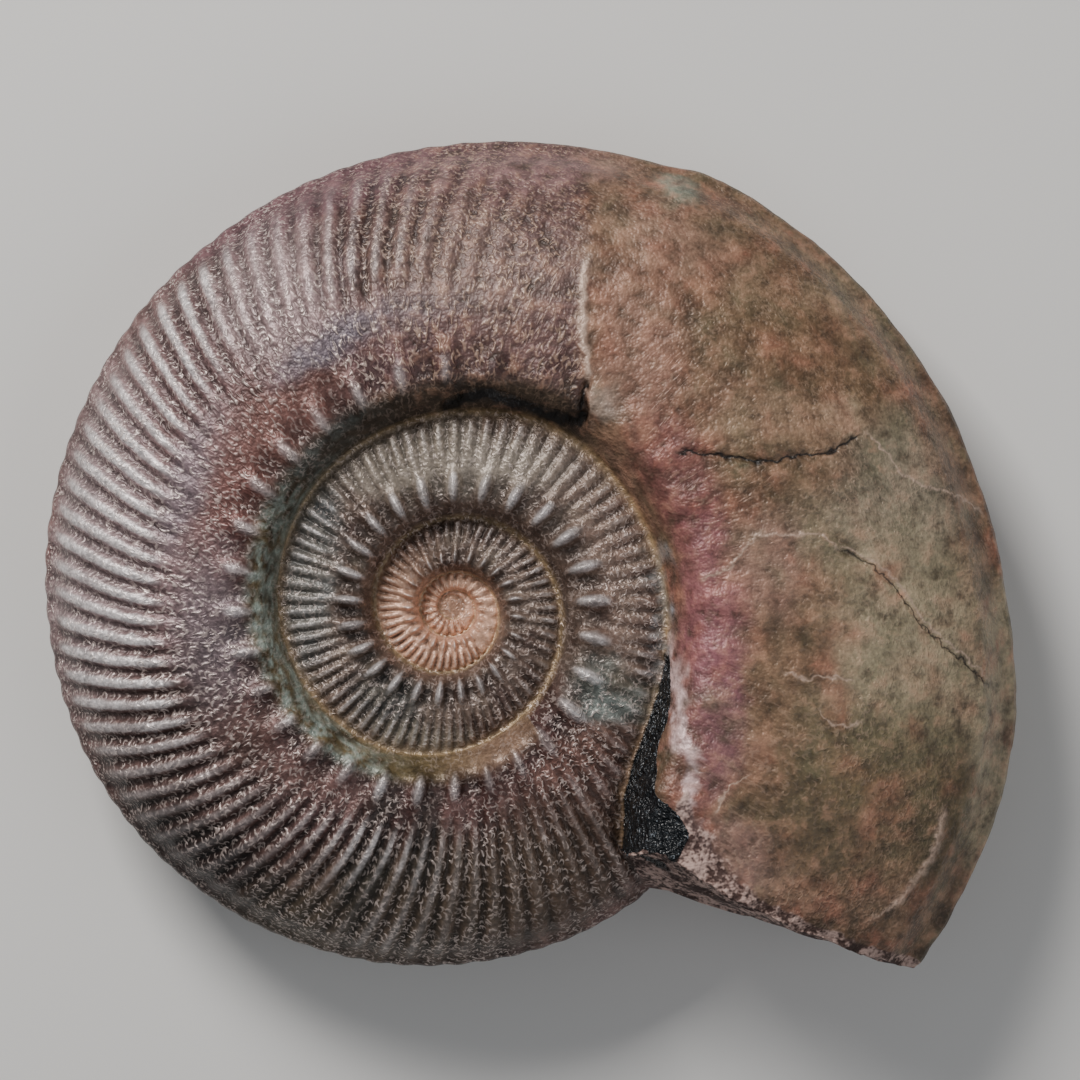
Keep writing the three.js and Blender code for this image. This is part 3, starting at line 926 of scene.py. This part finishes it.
def make_ammonite(stone):
    labels = list(SHELL_SIZES)
    tree = group(
        "ammonite shell",
        "GeometryNodeTree",
        {label: kind for label, (kind, value) in SHELL_SIZES.items()},
        {"Geometry": "Geometry"},
        lambda tree, *wires: build_shell(tree, stone, dict(zip(labels, wires))),
    )
    source = bpy.data.objects.new("shell_source", bpy.data.meshes.new("shell_source"))
    bpy.context.scene.collection.objects.link(source)
    modifier = source.modifiers.new("shell", "NODES")
    modifier.node_group = tree
    for item in tree.interface.items_tree:
        if item.in_out == "INPUT":
            modifier[item.identifier] = SHELL_SIZES[item.name][1]
    strips = sum(ROWS.values()) + (WHORL_COUNT - 1) * sum(INNER_ROWS.values()) + 2 * CENTRE_ROWS
    thinner = source.modifiers.new("thinner", "DECIMATE")
    thinner.ratio = TRIANGLE_BUDGET / (2 * COLUMNS * strips + 2 * BREAK_ROWS * sum(ROWS.values()))
    thinner.use_collapse_triangulate = True
    graph = bpy.context.evaluated_depsgraph_get()
    mesh = bpy.data.meshes.new_from_object(source.evaluated_get(graph), depsgraph=graph)
    bpy.data.objects.remove(source)
    piece = bpy.data.objects.new("ammonite_shell", mesh)
    bpy.context.scene.collection.objects.link(piece)
    return piece


def surface_mark(tree, name, kind="Fac"):
    return out(add(tree, "ShaderNodeAttribute", attribute_name=name), kind)


def vectors(operation, first, second, result="Vector"):
    node = add(first.tree, "ShaderNodeVectorMath", {0: first, 1: second}, operation=operation)
    return out(node, result)


def flat_place(place):
    """The place unrolled on to the plane of the coil: the steep rim is folded outwards."""
    x, y, z = split(place)
    radius = (x * x + y * y + 1.0).math("SQRT")
    stretch = 1.0 - z * radius.smooth(*FOLD_RADII) / radius
    return combine(place.tree, x * stretch, y * stretch, 0.0)


def worm_dashes(place, grain_line, size):
    """Short raised dashes, one in each cell of about a size. They follow a grain line loosely."""
    values = {"Vector": place, "Scale": 1 / size}
    cells = add(place.tree, "ShaderNodeTexVoronoi", values, voronoi_dimensions="2D")
    x, y = split(vectors("SUBTRACT", place, out(cells, "Position")))[:2]
    turned, strong = split(out(cells, "Color"))[:2]
    heading = turned * WORM_UNREST + grain_line
    cosine, sine = heading.math("COSINE"), heading.math("SINE")
    along = y * cosine - x * sine
    aside = x * cosine + y * sine + along * along * WORM_BEND
    length = along.math("ABSOLUTE").smooth(0.75 * size, 0.3 * size)
    return aside.bell(0.0, WORM_WIDTH) * length * (strong * 0.6 + 0.4)


def build_worms(tree, place):
    """Two sets of worm dashes over each other."""
    flat = flat_place(place)
    values = {"Vector": flat, "Scale": 1 / GRAIN_LINE_SIZE, "Detail": 0.0}
    grain_line = out(add(tree, "ShaderNodeTexNoise", values, noise_dimensions="2D")) * GRAIN_LINE_TURN
    moved = vectors("ADD", flat, SET_SHIFT)
    first = worm_dashes(flat, grain_line, WORM_CELLS[0])
    second = worm_dashes(moved, grain_line + SET_TURN, WORM_CELLS[1])
    return (first.most(second),)


def build_lines(tree, place):
    """Masks of the dark cracks and the pale veins on the upper side."""
    x, y, z = split(place)
    values = {"Vector": place, "Scale": 1 / LINE_JITTER_SIZE, "Detail": 1.0}
    jitter = add(tree, "ShaderNodeTexNoise", values)
    jitter_x, jitter_y = split(out(jitter, "Color"))[:2]
    crooked_x = x + (jitter_x - 0.5) * LINE_REACH
    crooked_y = y + (jitter_y - 0.5) * LINE_REACH
    dark = line_marks(crooked_x, crooked_y, DARK_LINES)
    pale = line_marks(crooked_x, crooked_y, PALE_LINES)
    edge = line_mark(crooked_x - PALE_EDGE_X, crooked_y - PALE_EDGE_Y, MID_CRACK, PALE_EDGE_WIDTH)
    pale = pale + edge * 0.4
    top = z.smooth(*UPPER_SIDE)
    return (dark * top).least(0.95), pale * top


WORM_STROKES = group(
    "worm strokes",
    "ShaderNodeTree",
    {"Place": "Vector"},
    {"Height": "Float"},
    build_worms,
)
CRACKS_AND_VEINS = group(
    "cracks and veins",
    "ShaderNodeTree",
    {"Place": "Vector"},
    {"Dark": "Float", "Pale": "Float"},
    build_lines,
)


def fossil_stone():
    material = bpy.data.materials.new("fossil stone")
    material.use_nodes = True
    tree = material.node_tree
    shader = tree.nodes["Principled BSDF"]

    # Place on the stone, in mm from the pole of the coil
    values = {"Vector": out(tree.nodes.new("ShaderNodeTexCoord"), "Object"), "Location": POLE}
    values["Rotation"] = LAYING.to_euler()
    values["Scale"] = (MM, MM, MM)
    place = out(add(tree, "ShaderNodeMapping", values, vector_type="TEXTURE"))
    colour = surface_mark(tree, "ground", "Color")
    names = ("worms", "chamber", "broken", "wedge")
    worms, chamber, broken, wedge = (surface_mark(tree, name) for name in names)

    # Grain, and worm strokes with painted highlights on their crests and painted shade in their hollows
    grain = noise(place, GRAIN_SIZE, 1.0, 0.65)
    rock = noise(place, ROCK_SIZE, 3.0, 0.6)
    strokes = use(tree, WORM_STROKES, {"Place": place})[0]
    rocky = rock * (0.25 + chamber * 0.35)
    colour = shade(tree, colour, (0.98 + grain * (0.4 - chamber * 0.1) + rocky).most(0.25))
    light_spots = rock.smooth(0.05, 0.6) * chamber * 0.4
    dark_spots = rock.smooth(-0.05, -0.6) * chamber * 0.5
    colour = tinted(tree, colour, (light_spots, "light spots"), (dark_spots, "dark spots"))
    rough_strokes = strokes + grain * 0.3
    stroke_crest = rough_strokes.smooth(0.3, 0.85) * worms
    stroke_hollow_shade = rough_strokes.smooth(0.2, -0.1) * worms
    # Painted highlights on the stroke crests, and painted shade in their hollows
    stroke_highlight_colour = between(tree, chamber, "strokes", "chamber stroke highlights")
    colour = blend(tree, stroke_crest * 0.55, colour, stroke_highlight_colour)
    colour = shade(tree, colour, 1.0 - stroke_hollow_shade * 0.25)

    # Cracks and veins
    dark_lines, pale_lines = use(tree, CRACKS_AND_VEINS, {"Place": place})
    pale_lines = pale_lines * (1.2 + grain * 0.8)
    colour = tinted(tree, colour, (dark_lines, "crack"), (pale_lines.least(0.9).most(0.0), "vein"))

    # Broken rock and the black crystals
    crumbs = (rock + grain * 0.7).smooth(-0.3, 0.4)
    rock_colour = between(tree, crumbs, "dark rock", "light rock")
    broken = (broken + rock * 0.3).smooth(0.35, 0.6)
    colour = blend(tree, broken * 0.9, colour, rock_colour)
    crystal_height = (rock * 2.2 + grain * 0.8 + 5.0).math("FRACT")
    glint = crystal_height.smooth(0.75, 1.0) * grain.smooth(0.0, 0.6)
    crystal_colour = between(tree, glint * 0.8, "crystal", "crystal glint")
    wedge = (wedge + rock * 0.3).smooth(0.35, 0.6)
    colour = blend(tree, wedge, colour, crystal_colour)

    # Gloss, and fine relief in mm
    dull = broken * (1.0 - wedge)
    roughness = 0.44 + grain * 0.08 - stroke_crest * 0.14 + dull * 0.3 - wedge * 0.16 + chamber * 0.04
    metallic = 0.34 - chamber * 0.16 - dull * 0.3 - wedge * 0.2
    height = strokes * worms * 0.22 + grain * 0.08 + rock * (0.1 + chamber * 0.25 + dull * 0.3)
    height = height + wedge * crystal_height * 0.5
    bump = add(tree, "ShaderNodeBump", {"Strength": 1.0, "Distance": MM, "Height": height})

    feed(tree, shader.inputs["Base Color"], colour)
    feed(tree, shader.inputs["Roughness"], roughness.most(0.15).least(0.9))
    feed(tree, shader.inputs["Metallic"], metallic.most(0.0))
    feed(tree, shader.inputs["Normal"], out(bump))
    return material


ammonite = make_ammonite(fossil_stone())
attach(ammonite, "root")
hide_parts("ammonite")

# Camera: it looks down the axis of the coil, as the photograph does
PHOTO_SIZE = 1080
PHOTO_POLE = (452, 607)
MM_PER_PIXEL = 200 / 967
CAMERA_DISTANCE = 1.6
SENSOR_WIDTH = 36.0
view_width = PHOTO_SIZE * MM_PER_PIXEL * MM
aim = Vector((PHOTO_SIZE / 2 - PHOTO_POLE[0], PHOTO_POLE[1] - PHOTO_SIZE / 2, 0)) * MM_PER_PIXEL * MM
camera_data = bpy.data.cameras.new("camera")
camera_data.sensor_width = SENSOR_WIDTH
camera_data.lens = SENSOR_WIDTH * CAMERA_DISTANCE / view_width
camera = bpy.data.objects.new("camera", camera_data)
camera.matrix_world = LAYING @ Matrix.Translation(aim + Vector((0, 0, CAMERA_DISTANCE)))
bpy.context.scene.collection.objects.link(camera)
bpy.context.scene.camera = camera

# Floor
FLOOR_REACH = 6.0
FLOOR_GAP = 0.0002
FLOOR_COLOUR = (0.75, 0.74, 0.72, 1)
FLOOR_ROUGHNESS = 0.9
corner_signs = ((-1, -1), (1, -1), (1, 1), (-1, 1))
floor_corners = [(sx * FLOOR_REACH, sy * FLOOR_REACH, -FLOOR_GAP) for sx, sy in corner_signs]
floor_mesh = bpy.data.meshes.new("floor")
floor_mesh.from_pydata(floor_corners, [], [(0, 1, 2, 3)])
floor = bpy.data.objects.new("floor", floor_mesh)
bpy.context.scene.collection.objects.link(floor)
floor_material = bpy.data.materials.new("pale floor")
floor_material.use_nodes = True
floor_shader = floor_material.node_tree.nodes["Principled BSDF"]
floor_shader.inputs["Base Color"].default_value = FLOOR_COLOUR
floor_shader.inputs["Roughness"].default_value = FLOOR_ROUGHNESS
floor_mesh.materials.append(floor_material)

# Light
SKY_COLOUR = (0.8, 0.82, 0.85, 1)
SKY_STRENGTH = 0.26


def area_light(name, place, size, power, colour):
    data = bpy.data.lights.new(name, "AREA")
    data.shape = "SQUARE"
    data.size = size
    data.energy = power
    data.color = colour
    light = bpy.data.objects.new(name, data)
    light.location = place
    light.rotation_mode = "QUATERNION"
    light.rotation_quaternion = (-Vector(place)).to_track_quat("-Z", "Y")
    bpy.context.scene.collection.objects.link(light)


area_light("key light", (-0.5, 0.8, 0.85), 0.45, 17, (1.0, 0.97, 0.94))
area_light("fill light", (0.9, -0.5, 1.1), 1.2, 4, (0.93, 0.96, 1.0))
world = bpy.data.worlds.new("studio")
world.use_nodes = True
sky = world.node_tree.nodes["Background"]
sky.inputs["Color"].default_value = SKY_COLOUR
sky.inputs["Strength"].default_value = SKY_STRENGTH
bpy.context.scene.world = world
